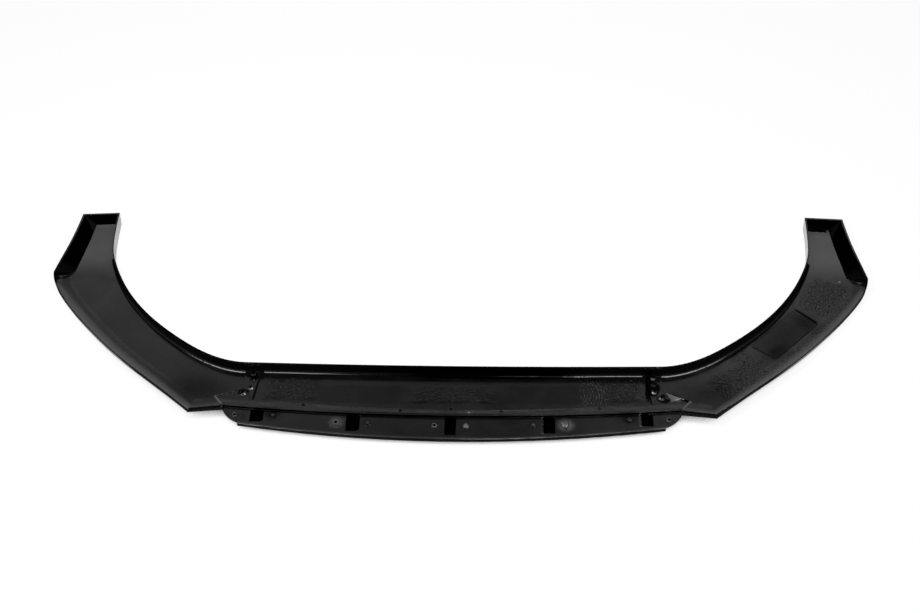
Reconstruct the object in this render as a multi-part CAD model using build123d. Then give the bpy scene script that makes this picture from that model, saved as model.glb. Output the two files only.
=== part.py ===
"""Front splitter lip for a compact car, lying on its finished face with its hollow side up.

Frame: X across the car, Y from the nose (minus) to the wing tips (plus), Z up.
The origin is at the middle of the lip, on the ground. Sizes are in millimetres.
"""
from math import hypot
import os

from build123d import *

# Overall sizes
WIDTH = 1640.0  # across both wings
DEPTH = 575.0  # nose of the chin to the wing tips
SHEET = 3.0  # wall of the mouldings
RIM_HEIGHT = 25.0  # rim top over the underside of the floor
FLOOR_LIFT = 16.0  # underside of the centre floor over the ground

# Wing section
RIM_DRAFT = 1.0  # lean of the rim's inner face
BEND = 5.0  # radius where the rim meets the floor
RAMP_WIDTH = 34.0  # rolled band along the outer edge
RAMP_RISE = 8.0  # height that the band climbs
EDGE = 5.0  # thickness of the outer edge
BEAD = 3.0  # width of the bead on the outer edge
BEAD_RISE = 1.5  # height of that bead

# Pocket at the wing tip
TIP_RAKE = 10.0  # lean of the end wall
WEB = 3.0  # web that closes the pocket's front end

# Recess in the floor of the right wing
RECESS_SHALLOW = 0.3  # depth along the rim
RECESS_SLOPE = 1.9  # degrees that the recess falls towards the outer edge
RECESS_CORNER = 6.0

# Cove at the foot of the end wall in the right tip
TIP_COVE_WIDTH = 44.0
TIP_COVE_RUN = 7.0
TIP_COVE_RISE = 11.0
TIP_COVE_TOE = 0.4  # step where the cove meets the floor

# Joint between centre panel and wings
TONGUE_X = 384.0  # where the wing's own floor begins
LAP = 8.0  # overlap of the wing's raised tongue with its own floor
TONGUE_BEVEL = 2.6  # sloping edge of the tongue
STUD = 5.0  # diameter of the moulded studs
STUD_HEIGHT = 5.0  # stud above the sheet that it holds
STUD_X = 376.0
STUD_YS = (-144.5, -159.5, -178.0)
STUD_GAP = 0.3  # clearance around a stud
GAP = 0.4  # clearance between mouldings

# Chin panel
CHIN_LIP = 8.0  # height of the nose
CHIN_LIP_WIDTH = 6.0
NOSE_ROUND = 2.5  # radius on the nose's front edges
NOSE_CUT = 40.0  # how far the hollow over the apron runs past the nose
FLANGE_BEAD = 3.0  # width of the sloping bead along the step
FLANGE_BEAD_RISE = 0.8
REAR_BEAD = 2.4  # width of the sloping bead along the rear of the flange
REAR_BEAD_RISE = 0.6
BEAD_CREST = 0.6  # flat top of both beads
TAB_RIB = 2.4  # width of the rib along the rear of each end tab
TAB_RIB_RISE = 2.2
GUSSET = ((396.5, -183.5), (428.0, -194.5), (405.0, -199.0))  # sloping gusset on the right tab
GUSSET_RISES = (5.5, 1.8, 0.0)  # its heights over the flange
TAB_X = 389.0
TAB_Y = -190.5
TAB_RADIUS = 9.5
FIX_HOLE = 6.0  # fixing holes in the flange
LUG_RADIUS = 6.5  # lug around the middle fixing hole

# Fins below the chin
FIN_XS = (-360.0, -181.0, 0.0, 181.0, 360.0)
SLOT_WIDTH = 21.0
SLOT_REAR = 3.0  # slot's rear end from the chin's step
SLOT_FRONT = 10.6  # slot's front end from the nose
FIN_WALL = 2.5
FIN_TIP = 9.0  # width of a fin on the ground
FIN_RAKE = 5.0  # lean of a fin's two ends
SLOT_BEVEL = 4.0  # sloping side of a slot, towards the middle of the lip
POST_REACH = 29.0  # post from the middle of its slot
END_POST_REACHES = (39.0, 32.0)  # outboard and inboard posts of the outermost fins
POST = 5.0
POST_HEAD = 9.0
POST_HEAD_RISE = 2.2
BOSS = 13.0
BOSS_RISE = 1.2
FOOT = 2.5  # thickness of a fin's foot
FOOT_WIDTH = 14.0

# Push nuts
NUT = 11.0
TAB_NUT = 14.5
NUT_THICK = 1.2
NUT_CROWN = 1.1

NOMINAL_WIDTH = 1640.0
NOMINAL_DEPTH = 575.0


def plan(x, y):
    """Plan position on the nominal lip, carried over to the present width and depth."""
    return (x * WIDTH / NOMINAL_WIDTH, y * DEPTH / NOMINAL_DEPTH)


# Plan curves of the right wing, from the seam to the pocket
RIM_START = ((384.0, -131.3), (424.0, -126.3))
RIM_CORNER = (464.0, -111.5)  # faces the front corner
RIM_SIDE = ((532.0, -68.5), (606.0, -1.5), (662.0, 72.0), (696.0, 137.0))
RIM_POCKET = (710.0, 176.0)  # where the pocket begins
RIM_TIP = ((717.5, 236.0), (720.5, 300.0))
EDGE_POINTS = ((485.5, -237.0), (568.0, -169.5), (650.0, -100.5), (724.0, -26.0), (784.0, 45.0),
               (812.0, 88.0), (820.0, 114.0))
FRONT_START = (384.0, -226.5)
INNER_STEPS = 4
OUTER_STEPS = 12
SINK_START = 0.1  # share of the wing's run where its floor begins to sink
SINK_END = 0.98
BROW_START = 0.84  # share of the run where the outer bead climbs to the pocket's wall
# Pocket stations: rim point, outer top point, floor's outer corner as a share of the run
POCKET_STATIONS = (
    ((710.0, 176.0), (820.0, 114.0), 0.685),
    ((714.3, 202.0), (812.5, 160.0), 0.675),
    ((717.5, 236.0), (804.5, 210.0), 0.665),
    ((719.6, 272.0), (799.0, 264.0), 0.655),
    ((720.5, 300.0), (797.0, 296.0), 0.65),
)
TIP_TOP_INNER = (719.5, 287.5)
TIP_TOP_OUTER = (798.5, 283.0)
RECESS = ((668.0, 45.5), (708.0, 8.0), (612.0, -91.5), (567.0, -61.5))

# Chin curves: ends and middle of each arc
STEP_END = (427.0, -215.5)
STEP_MID = (0.0, -234.0)
NOSE_END = (392.0, -257.5)
NOSE_SIDE = (413.0, -242.0)
NOSE_MID = (0.0, -287.5)
STRIP_END = (340.0, -205.5)
STRIP_MID = (0.0, -223.5)
STRIP_SHOULDER = (374.0, -205.5)
TAB_HEEL = (380.0, -191.5)
TAB_BACK = (392.0, -181.5)
TAB_TIP = (441.0, -198.0)
RIM_END = (384.0, -131.3)
RIM_MID = (0.0, -135.5)
SEAM_REAR = (360.0, -134.0)
SEAM_FRONT = (368.0, -204.0)
FIX_HOLES = ((93.0, -227.5), (273.0, -217.5))
LUG_Y = -222.0
FLOOR_TOP = FLOOR_LIFT + SHEET
FLANGE_TOP = FLOOR_TOP + SHEET
RIM_TOP = FLOOR_LIFT + RIM_HEIGHT
TALL = 200.0  # height of cutting prisms


def mirrored(point):
    """Point on the other side of the lip's middle plane."""
    return (-point[0], point[1])


def arc_y(end, mid, x):
    """Y of the flat arc through end, mid and the mirrored end, at a nominal x."""
    rise = end[1] - mid[1]
    radius = (end[0] ** 2 + rise ** 2) / (2 * rise)
    return mid[1] + radius - (radius ** 2 - x ** 2) ** 0.5


def span(end, mid):
    """Arc from the mirrored end over mid to the end, in plan."""
    return ThreePointArc(plan(*mirrored(end)), plan(*mid), plan(*end))


def outline(points):
    """Straight run through nominal plan points."""
    return Polyline(*[plan(*point) for point in points])


def prism(face, low, high):
    """Plan face made solid from low to high."""
    return extrude(Pos(0, 0, low) * face, high - low, dir=(0, 0, 1))


def disc(x, y, radius, low, high):
    """Upright cylinder at a nominal plan position."""
    px, py = plan(x, y)
    return Pos(px, py, (low + high) / 2) * Cylinder(radius, high - low)


def upright(rim, edge):
    """Standing plane from the rim point towards the outer edge point, and its run."""
    ax, ay = plan(*rim)
    bx, by = plan(*edge)
    run = hypot(bx - ax, by - ay)
    ux, uy = (bx - ax) / run, (by - ay) / run
    return Plane(origin=(ax, ay, 0), x_dir=(ux, uy, 0), z_dir=(uy, -ux, 0)), run


def body_section(rim, edge, lift, bead):
    """Closed outline of the wing between its rim and its rolled outer edge."""
    plane, run = upright(rim, edge)
    base = FLOOR_LIFT * lift
    floor = base + SHEET
    top = base + RIM_HEIGHT
    start = run - RAMP_WIDTH
    crest = floor + RAMP_RISE
    brim = crest + BEAD_RISE + bead
    inner = SHEET + RIM_DRAFT
    edges = [
        Line((0, base + BEND), (0, top)),
        Line((0, top), (SHEET, top)),
        Line((SHEET, top), (inner, floor + BEND)),
        TangentArc((inner + BEND, floor), (inner, floor + BEND), tangent=(-1, 0)),
        Line((inner + BEND, floor), (start, floor)),
        TangentArc((start, floor), (run - BEAD, crest), tangent=(1, 0)),
        Line((run - BEAD, crest), (run - BEAD / 2, brim)),
        Line((run - BEAD / 2, brim), (run, brim)),
        Line((run, brim), (run, crest - EDGE)),
        TangentArc((start, base), (run, crest - EDGE), tangent=(1, 0)),
        Line((start, base), (BEND, base)),
        TangentArc((BEND, base), (0, base + BEND), tangent=(-1, 0)),
    ]
    return plane * Wire(edges)


def ease(value, low, high):
    """Smooth step from 0 at low to 1 at high."""
    share = min(1.0, max(0.0, (value - low) / (high - low)))
    return share * share * (3 - 2 * share)


def along(curve, steps, start=0.0, end=1.0):
    """Evenly spaced nominal points on a plan curve."""
    spots = [curve.position_at(start + (end - start) * k / steps) for k in range(steps + 1)]
    return [(spot.X, spot.Y) for spot in spots]


def wing_body():
    """Wing from its seam to the pocket, in two runs that meet at the front corner."""
    rim = Spline(*RIM_START, RIM_CORNER, *RIM_SIDE, RIM_POCKET, *RIM_TIP)
    edge = Spline(*EDGE_POINTS)
    front = Line(FRONT_START, EDGE_POINTS[0])
    corner = rim.param_at_point(RIM_CORNER)
    pocket = rim.param_at_point(RIM_POCKET)
    inner = zip(along(rim, INNER_STEPS, 0, corner), along(front, INNER_STEPS))
    sections = [body_section(a, b, 1.0, 0.0) for a, b in inner]
    body = Solid.make_loft(sections)
    outer = zip(along(rim, OUTER_STEPS, corner, pocket), along(edge, OUTER_STEPS))
    sections = []
    brow = RIM_HEIGHT - SHEET - RAMP_RISE - BEAD_RISE
    for k, (a, b) in enumerate(outer):
        share = k / OUTER_STEPS
        lift = 1 - ease(share, SINK_START, SINK_END)
        sections.append(body_section(a, b, lift, brow * ease(share, BROW_START, 2 - BROW_START) * 2))
    return body + Solid.make_loft(sections)


def quad(plane, points):
    """Closed outline through four points on a standing plane."""
    return plane * Wire(Polyline(*points, close=True).edges())


def pocket_shell():
    """Tip of the wing: floor, rim, flared outer wall and leaning end wall."""
    outer = []
    hollow = []
    for rim, edge, share in POCKET_STATIONS:
        plane, run = upright(rim, edge)
        corner = run * share
        outer.append(quad(plane, [(0, 0), (0, RIM_HEIGHT), (run, RIM_HEIGHT), (corner + SHEET / 2, 0)]))
        slope = (run - SHEET * 1.3 - corner) / (RIM_HEIGHT - SHEET)
        brim = corner + slope * (RIM_HEIGHT - SHEET + 1)
        hollow.append(quad(plane, [(SHEET + RIM_DRAFT, SHEET), (SHEET - RIM_DRAFT / 20, RIM_HEIGHT + 1),
                                   (brim, RIM_HEIGHT + 1), (corner, SHEET)]))
    shell = Solid.make_loft(outer)
    room = Solid.make_loft(hollow)
    inner = Vector(*plan(*TIP_TOP_INNER), RIM_HEIGHT)
    across = Vector(*plan(*TIP_TOP_OUTER), RIM_HEIGHT) - inner
    down = Vector(0, -TIP_RAKE, -RIM_HEIGHT)
    end = Plane(origin=inner, x_dir=across, z_dir=across.cross(down))
    if end.z_dir.Y < 0:
        end = Plane(origin=inner, x_dir=across, z_dir=-end.z_dir)
    back = Plane(origin=inner - end.z_dir * SHEET, x_dir=across, z_dir=end.z_dir)
    shell = split(shell, bisect_by=end, keep=Keep.BOTTOM)
    room = split(room, bisect_by=back, keep=Keep.BOTTOM)
    return shell - room


def pocket_web():
    """Upright web between the rolled band and the pocket's outer wall."""
    rim, edge, share = POCKET_STATIONS[0]
    plane, run = upright(rim, edge)
    corner = run * share
    crest = SHEET + RAMP_RISE
    sag = (run - RAMP_WIDTH / 2, (SHEET + RAMP_RISE / 2) / 2)
    face = plane * make_face(Polyline((corner, SHEET / 2), sag, (run - BEAD / 2, crest - EDGE / 2),
                                      (run - BEAD / 2, RIM_HEIGHT), (run - SHEET, RIM_HEIGHT), close=True))
    return extrude(face, -WEB)


def seam_tongue():
    """Raised tongue of the right wing that laps over the centre panel's end."""
    rear = arc_y(RIM_END, RIM_MID, SEAM_REAR[0])
    shift = (SHEET + RIM_DRAFT + GAP / 2) * NOMINAL_DEPTH / DEPTH
    wall = SHEET * NOMINAL_DEPTH / DEPTH
    far = TONGUE_X + LAP
    floor = make_face(outline([(SEAM_REAR[0], rear - shift), SEAM_FRONT, (far, SEAM_FRONT[1]),
                               (far, RIM_END[1] - shift), (SEAM_REAR[0], rear - shift)]))
    rim = make_face(outline([(SEAM_REAR[0], rear - shift), (SEAM_REAR[0] + 0.5, rear - shift - wall),
                             (far, RIM_END[1] - shift - wall), (far, RIM_END[1] - shift + RIM_DRAFT),
                             (TONGUE_X, RIM_END[1] - shift + RIM_DRAFT), (TONGUE_X, RIM_END[1] - shift),
                             (SEAM_REAR[0], rear - shift)]))
    slab = prism(floor, FLOOR_TOP, FLANGE_TOP)
    seam = slab.edges().group_by(Axis.Z)[-1].sort_by(Axis.X)[0]
    return chamfer(seam, TONGUE_BEVEL) + prism(rim, FLOOR_TOP, RIM_TOP)


def grown(face, grow):
    """Plan face with a clearance around it."""
    return offset(face, grow) if grow else face


def flange_face(grow):
    """Plan of the chin's flange with both end tabs, grown by a clearance."""
    rear = span(STRIP_END, STRIP_MID)
    front = span(STEP_END, STEP_MID)
    right = outline([STRIP_END, STRIP_SHOULDER, STEP_END])
    left = outline([mirrored(p) for p in (STRIP_END, STRIP_SHOULDER, STEP_END)])
    face = grown(make_face(Curve() + [rear, front, right, left]), grow)
    face += Pos(*plan(0, LUG_Y)) * Circle(LUG_RADIUS + grow)
    inner_front = (STRIP_END[0], arc_y(STEP_END, STEP_MID, STRIP_END[0]))
    for flip in (lambda p: p, mirrored):
        tab = outline([flip(p) for p in (STRIP_END, STRIP_SHOULDER, TAB_HEEL, TAB_BACK, TAB_TIP, STEP_END,
                                         inner_front, STRIP_END)])
        face += grown(make_face(tab), grow)
        face += Pos(*plan(*flip((TAB_X, TAB_Y)))) * Circle(TAB_RADIUS + grow)
    return face


def apron_face(inset=0.0, ahead=0.0):
    """Plan of the chin ahead of its step, drawn in at rear and ends."""
    step_end = (STEP_END[0] - inset, STEP_END[1] - inset)
    nose_side = (NOSE_SIDE[0] - inset, NOSE_SIDE[1] - ahead / 2)
    nose_end = (NOSE_END[0] - inset, NOSE_END[1] - ahead)
    rear = span(step_end, (STEP_MID[0], STEP_MID[1] - inset))
    front = span(nose_end, (NOSE_MID[0], NOSE_MID[1] - ahead))
    ends = [ThreePointArc(*[plan(*flip(p)) for p in (step_end, nose_side, nose_end)])
            for flip in (lambda p: p, mirrored)]
    return make_face(Curve() + [rear, front] + ends)


def wing():
    """Right wing without its recess."""
    body = wing_body() + pocket_shell() + pocket_web()
    flange = flange_face(GAP)
    apron = make_face(offset(apron_face(), GAP).faces()[0].outer_wire().edges())
    body -= prism(flange, FLOOR_TOP, TALL)
    body -= prism(apron, -TALL, TALL)
    land = Pos(plan(TONGUE_X, 0)[0] + WIDTH / 2, 0) * Rectangle(WIDTH, 2 * DEPTH)
    body += prism(flange & land, FLOOR_LIFT, FLOOR_TOP) - prism(apron, -TALL, TALL)
    tongue = seam_tongue() - prism(flange, FLOOR_TOP, TALL)
    body += tongue
    for y in STUD_YS:
        body -= disc(STUD_X, y, STUD / 2 + STUD_GAP, FLOOR_TOP - 1, FLANGE_TOP + 1)
    body += disc(TAB_X, TAB_Y, STUD / 2, FLOOR_TOP - 1, FLANGE_TOP + STUD_HEIGHT)
    return body


def recess_tool(body):
    """What the recess takes from the right wing's floor."""
    corners = [plan(*point) for point in RECESS]
    face = make_face(Polyline(*corners, close=True))
    face = fillet(face.vertices(), RECESS_CORNER)
    block = prism(face, 0, FLOOR_LIFT + RIM_HEIGHT)
    rear = Vector(*corners[0])
    front = Vector(*corners[3])
    hinge = Axis(origin=(front + rear) / 2 + Vector(0, 0, FLOOR_TOP * 0.6), direction=rear - front)
    bed = Pos(0, 0, -RECESS_SHALLOW) * body.rotate(hinge, RECESS_SLOPE)
    pieces = (block - bed).solids()
    return max(pieces, key=lambda piece: piece.center().Z)


def tip_cove():
    """Sloping cove at the foot of the right tip's end wall."""
    inner = Vector(*plan(*TIP_TOP_INNER))
    across = (Vector(*plan(*TIP_TOP_OUTER)) - inner).normalized()
    outward = Vector(-across.Y, across.X, 0)
    lean = TIP_RAKE * outward.Y / RIM_HEIGHT
    wall = SHEET * hypot(1, lean)
    top = SHEET + TIP_COVE_RISE
    toe = lean * SHEET - wall - TIP_COVE_RUN
    section = Plane(origin=inner - Vector(0, TIP_RAKE, 0) + across * SHEET, x_dir=outward, z_dir=across)
    face = section * make_face(Polyline((toe, SHEET / 2), (0, SHEET / 2), (lean * top - wall / 2, top),
                                        (lean * top - wall, top), (toe, SHEET + TIP_COVE_TOE), close=True))
    return extrude(face, TIP_COVE_WIDTH)


def centre():
    """Centre panel with its rim and the studs of both seams."""
    side = TONGUE_X - GAP
    rear_y = arc_y(RIM_END, RIM_MID, side)
    front_y = arc_y(STEP_END, STEP_MID, side) + GAP
    rear = span((side, rear_y), RIM_MID)
    front = span((side, front_y), (STEP_MID[0], STEP_MID[1] + GAP))
    right = outline([(side, rear_y), (side, front_y)])
    left = outline([(-side, rear_y), (-side, front_y)])
    floor = prism(make_face(Curve() + [rear, front, right, left]), FLOOR_LIFT, FLOOR_TOP)
    wall = SHEET * NOMINAL_DEPTH / DEPTH
    inner = span((side, rear_y - wall), (RIM_MID[0], RIM_MID[1] - wall))
    ends = [outline([(x, rear_y), (x, rear_y - wall)]) for x in (side, -side)]
    rim = prism(make_face(Curve() + [rear, inner] + ends), FLOOR_LIFT, RIM_TOP)
    body = floor + rim
    reach = plan(SEAM_REAR[0], 0)[0] - SHEET
    middle = body & Box(2 * reach, DEPTH, 4 * RIM_TOP)
    level = middle.edges().filter_by(GeomType.CIRCLE).group_by(Axis.Z)
    creases = [edges for edges in level if abs(edges[0].center().Z - FLOOR_TOP) < SHEET / 2][0]
    body += fillet(creases.sort_by(Axis.Y)[-1], BEND)
    for x in (STUD_X, -STUD_X):
        for y in STUD_YS:
            body += disc(x, y, STUD / 2, FLOOR_TOP - 1, FLANGE_TOP + STUD_HEIGHT)
    return body


def fin_posts(x):
    """Nominal plan positions of the two posts of the fin at x."""
    reaches = END_POST_REACHES if x in (FIN_XS[0], FIN_XS[-1]) else (POST_REACH, POST_REACH)
    outward = 1 if x >= 0 else -1
    middle = slot_middle(x)
    return ((x + outward * reaches[0], middle), (x - outward * reaches[1], middle))


def slot_ends(x):
    """Rear and front Y of the slot at x."""
    return arc_y(STEP_END, STEP_MID, x) - SLOT_REAR, arc_y(NOSE_END, NOSE_MID, x) + SLOT_FRONT


def slot_middle(x):
    """Middle Y of the slot at x."""
    return sum(slot_ends(x)) / 2


def slot_tool(x):
    """What the slot at x takes from the chin, with its sloping side."""
    rear, front = slot_ends(x)
    px, py = plan(x, (rear + front) / 2)
    length = (rear - front) * DEPTH / NOMINAL_DEPTH
    low = FLOOR_LIFT - SHEET
    tool = prism(Pos(px, py) * RectangleRounded(SLOT_WIDTH, length, 1.5), low - 1, FLOOR_LIFT + 1)
    if x == 0:
        return tool
    inward = -1 if x > 0 else 1
    side = px + inward * SLOT_WIDTH / 2
    bevel = Plane(origin=(0, py - length / 2 + 1.5, 0), x_dir=(1, 0, 0), z_dir=(0, -1, 0)) * make_face(
        Polyline((side - inward, low), (side, low), (side + inward * SLOT_BEVEL, FLOOR_LIFT),
                 (side + inward * SLOT_BEVEL, FLOOR_LIFT + 1), (side - inward, FLOOR_LIFT + 1), close=True))
    return tool + extrude(bevel, 3 - length)


def flat_arc_band(end, mid, width):
    """Plan band behind a flat arc, as wide as given."""
    behind_end = (end[0], end[1] + width)
    front = span(end, mid)
    rear = span(behind_end, (mid[0], mid[1] + width))
    sides = [outline([end, behind_end]), outline([mirrored(end), mirrored(behind_end)])]
    return make_face(Curve() + [front, rear] + sides)


def sloping_bead(end, mid, width, rise):
    """Bead on the flange that stands up ahead and slopes down towards the rear."""
    foot = Pos(0, 0, FLANGE_TOP) * flat_arc_band(end, mid, width)
    crest = Pos(0, 0, FLANGE_TOP + rise) * flat_arc_band(end, mid, BEAD_CREST)
    slope = Solid.make_loft([foot.face().outer_wire(), crest.face().outer_wire()], ruled=True)
    return slope + prism(flat_arc_band(end, mid, width), FLANGE_TOP - SHEET / 2, FLANGE_TOP)


def gusset():
    """Gusset on the right tab, falling from the tab's rear edge towards the step."""
    corners = [plan(*point) for point in GUSSET]
    block = prism(make_face(Polyline(*corners, close=True)), FLANGE_TOP - SHEET / 2, TALL)
    rear, tip, foot = [Vector(*spot, FLANGE_TOP + rise) for spot, rise in zip(corners, GUSSET_RISES)]
    slope = (tip - foot).cross(rear - foot)
    return split(block, bisect_by=Plane(origin=foot, z_dir=slope), keep=Keep.BOTTOM)


def chin():
    """Chin panel: flange, step, apron with five slots, nose and end walls."""
    low = FLOOR_LIFT - SHEET
    draw_back = CHIN_LIP_WIDTH * 0.7
    nose = prism(flat_arc_band(NOSE_END, NOSE_MID, CHIN_LIP_WIDTH), FLOOR_LIFT - CHIN_LIP, FLOOR_LIFT)
    front_edges = nose.edges().filter_by(GeomType.CIRCLE).sort_by(Axis.Y)[:2]
    nose = fillet(front_edges, NOSE_ROUND)
    body = prism(flange_face(0), FLOOR_TOP, FLANGE_TOP)
    bead_end = STEP_END[0] - 2 * SHEET
    body += sloping_bead((bead_end, arc_y(STEP_END, STEP_MID, bead_end)), STEP_MID, FLANGE_BEAD, FLANGE_BEAD_RISE)
    bead_end = STRIP_END[0] - 2 * SHEET
    rear_y = arc_y(STRIP_END, STRIP_MID, bead_end) - REAR_BEAD
    body += sloping_bead((bead_end, rear_y), (0, STRIP_MID[1] - REAR_BEAD), REAR_BEAD, REAR_BEAD_RISE)
    body += prism(apron_face(0, -draw_back), low, FLANGE_TOP)
    body -= prism(apron_face(SHEET, NOSE_CUT), FLOOR_LIFT, TALL)
    body += nose
    rib_start = (TAB_X + TAB_RADIUS + TAB_NUT / 5, TAB_Y + 5.5)
    for flip in (lambda p: p, mirrored):
        rib = make_face(outline([flip(p) for p in (
            rib_start, TAB_TIP, (TAB_TIP[0] - TAB_RIB, TAB_TIP[1] - TAB_RIB),
            (rib_start[0], rib_start[1] - TAB_RIB), rib_start)]))
        body += prism(rib, FLANGE_TOP - SHEET / 2, FLANGE_TOP + TAB_RIB_RISE)
    body += gusset()
    for x in FIN_XS:
        body -= slot_tool(x)
        for post_x, post_y in fin_posts(x):
            body += disc(post_x, post_y, BOSS / 2, low, FLOOR_LIFT + BOSS_RISE)
    for x in FIN_XS:
        for post_x, post_y in fin_posts(x):
            body -= disc(post_x, post_y, POST / 2 + STUD_GAP, low - 1, TALL)
    for x in (TAB_X, -TAB_X):
        body -= disc(x, TAB_Y, STUD / 2 + STUD_GAP, FLOOR_TOP - 1, TALL)
    return body - fixing_holes()


def fixing_holes():
    """Through holes for the screws that hold the lip to the bumper."""
    holes = [disc(0, LUG_Y, FIX_HOLE / 2, 0, TALL)]
    for x, y in FIX_HOLES:
        holes.append(disc(x, y, FIX_HOLE / 2, 0, TALL))
        holes.append(disc(-x, y, FIX_HOLE / 2, 0, TALL))
    return holes


def fin(x):
    """Hollow fin below the chin, with its foot and two melted posts."""
    low = FLOOR_LIFT - SHEET
    rear, front = slot_ends(x)
    px, py = plan(x, (rear + front) / 2)
    length = (rear - front) * DEPTH / NOMINAL_DEPTH
    wall = FIN_WALL
    top = Pos(px, py, low) * Rectangle(SLOT_WIDTH + 2 * wall, length + 2 * wall)
    tip = Pos(px, py, 0) * Rectangle(FIN_TIP, length + 2 * wall - 2 * FIN_RAKE)
    body = Solid.make_loft([top.face().outer_wire(), tip.face().outer_wire()], ruled=True)
    mouth = Pos(px, py, low) * Rectangle(SLOT_WIDTH, length)
    bed = Pos(px, py, wall) * Rectangle(FIN_TIP / 2, length - 2 * FIN_RAKE)
    room = Solid.make_loft([mouth.face().outer_wire(), bed.face().outer_wire()], ruled=True)
    posts = fin_posts(x)
    foot_x = plan((posts[0][0] + posts[1][0]) / 2, 0)[0]
    reach = abs(plan(posts[0][0] - posts[1][0], 0)[0]) + FOOT_WIDTH
    foot = Pos(foot_x, py) * RectangleRounded(reach, FOOT_WIDTH, FOOT_WIDTH * 0.45)
    body = body + prism(foot, low - FOOT, low) - room
    seat = FLOOR_LIFT + BOSS_RISE
    for post_x, post_y in posts:
        body += disc(post_x, post_y, POST / 2, low - FOOT, seat + POST_HEAD_RISE / 2)
        hx, hy = plan(post_x, post_y)
        body += Pos(hx, hy, seat + POST_HEAD_RISE / 2) * Cone(POST_HEAD / 2, POST_HEAD * 0.3, POST_HEAD_RISE)
    return body


def push_nut(x, y, radius):
    """Star nut pressed on a stud: flat ring with a raised crown around the stud."""
    px, py = plan(x, y)
    ring = disc(x, y, radius, FLANGE_TOP, FLANGE_TOP + NUT_THICK)
    middle = FLANGE_TOP + NUT_THICK + NUT_CROWN / 2
    crown = Pos(px, py, middle) * Cone(radius * 0.72, STUD / 2 + 0.6, NUT_CROWN)
    bore = disc(x, y, STUD / 2 + 0.05, FLANGE_TOP - 1, FLANGE_TOP + 10)
    return ring + crown - bore


def group(shapes):
    """Separate solids of one kind, kept in one node."""
    return Compound(children=[solid for shape in shapes for solid in shape.solids()])


right_wing = wing()
left_wing = mirror(right_wing, about=Plane.YZ)
right_wing -= recess_tool(right_wing)
right_wing += tip_cove()
centre_panel = centre()
centre_panel -= fixing_holes()
joint_places = [(side * STUD_X, y) for side in (-1, 1) for y in STUD_YS]

nodes = {
    "wing_left": left_wing,
    "wing_right": right_wing,
    "centre_panel": centre_panel,
    "chin_panel": chin(),
    "joint_nuts": group([push_nut(x, y, NUT / 2) for x, y in joint_places]),
    "tab_nuts": group([push_nut(x, TAB_Y, TAB_NUT / 2) for x in (-TAB_X, TAB_X)]),
}
for number, fin_x in enumerate(FIN_XS, start=1):
    nodes[f"fin_{number}"] = fin(fin_x)

os.makedirs("parts", exist_ok=True)
for name, shape in nodes.items():
    export_step(shape, f"parts/{name}.step")
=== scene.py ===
"""Front splitter lip, dressed: black moulded wings, centre and chin, their fasteners, and a pale studio."""
from math import cos, pi, radians, sin

import bpy
from bpy.props import FloatProperty, FloatVectorProperty, IntProperty, PointerProperty
from mathutils import Matrix, Vector
from mathutils.bvhtree import BVHTree


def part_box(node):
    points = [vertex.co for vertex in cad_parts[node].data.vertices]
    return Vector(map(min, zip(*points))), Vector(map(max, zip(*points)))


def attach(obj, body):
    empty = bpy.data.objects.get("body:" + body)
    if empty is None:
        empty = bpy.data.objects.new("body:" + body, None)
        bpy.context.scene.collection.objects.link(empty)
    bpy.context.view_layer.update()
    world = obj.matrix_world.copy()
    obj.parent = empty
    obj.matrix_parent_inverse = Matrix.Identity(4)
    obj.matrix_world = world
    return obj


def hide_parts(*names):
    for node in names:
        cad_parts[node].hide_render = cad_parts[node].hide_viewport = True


bl_info = {
    "name": "Splitter lip dressing",
    "version": (1, 0, 0),
    "blender": (4, 5, 0),
    "location": "View3D > Sidebar > Splitter",
    "description": "Finishes the mouldings and fasteners of a front splitter lip and lights it",
    "category": "Object",
}

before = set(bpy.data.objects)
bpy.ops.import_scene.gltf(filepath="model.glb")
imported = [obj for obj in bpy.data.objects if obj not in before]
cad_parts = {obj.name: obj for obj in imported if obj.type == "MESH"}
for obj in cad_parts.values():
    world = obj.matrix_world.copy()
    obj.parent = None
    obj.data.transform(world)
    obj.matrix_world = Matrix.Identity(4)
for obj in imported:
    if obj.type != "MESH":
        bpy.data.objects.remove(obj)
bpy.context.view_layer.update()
BODY = "root"
ROAD_SIDE = "road_side"  # attribute: 1 on the finished side, 0 on the hollow side
STEEP = "steep"  # attribute: 1 on walls and coves, 0 on level faces
CREST = "crest"  # attribute: 1 on the level tops of the rims
CHIN = "chin"  # attribute: 1 on the chin panel
WINGS = ("wing_left", "wing_right")
PANELS = ("centre_panel", "chin_panel")
FINS = tuple(sorted(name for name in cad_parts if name.startswith("fin_")))


def colour_prop(name, default, description):
    """Colour that a user may change."""
    return FloatVectorProperty(name=name, description=description, default=default, size=3,
                               subtype="COLOR", min=0.0, max=1.0)


def length_prop(name, default, description):
    """Length in metres that a user may change."""
    return FloatProperty(name=name, description=description, default=default, min=0.0,
                         subtype="DISTANCE", unit="LENGTH", precision=5)


def share_prop(name, default, description):
    """Value from 0 to 1 that a user may change."""
    return FloatProperty(name=name, description=description, default=default, min=0.0, max=1.0,
                         subtype="FACTOR")


def angle_prop(name, degrees, description):
    """Angle that a user may change."""
    return FloatProperty(name=name, description=description, default=radians(degrees), subtype="ANGLE",
                         unit="ROTATION")


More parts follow.
